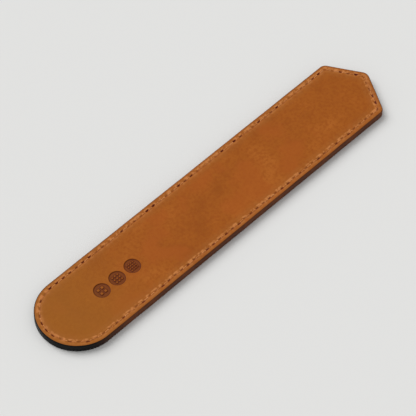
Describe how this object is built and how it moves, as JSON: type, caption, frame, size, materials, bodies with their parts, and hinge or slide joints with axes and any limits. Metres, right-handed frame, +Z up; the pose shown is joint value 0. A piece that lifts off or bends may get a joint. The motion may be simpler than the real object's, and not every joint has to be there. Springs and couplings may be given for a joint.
{
  "type": "leather strop",
  "caption": "Flat leather strop for honing carving knives, with one rounded and one pointed end, two plies sewn round a painted rim and round waffle stamps.",
  "frame": {"origin": "on the surface that the strop rests on, under the middle of its bounding box", "axes": "+Z up out of the stropping face, +X along the strop from the rounded end to the point"},
  "size_m": [0.2582, 0.048, 0.0052],
  "materials": {
    "face_leather": "smooth waxed grain, cognac tan",
    "back_leather": "napped flesh side, undyed tan",
    "core_board": "matte bonded leather board",
    "glue_film": "dried contact cement",
    "edge_paint": "satin black-brown edge paint",
    "seam_thread": "waxed twisted thread, tan"
  },
  "bodies": {
    "root": {"face_leather": "face_leather", "face_glue_film": "glue_film", "core_board": "core_board", "back_glue_film": "glue_film", "back_leather": "back_leather", "edge_paint": "edge_paint", "face_thread": "seam_thread", "back_thread": "seam_thread"}
  },
  "joints": []
}
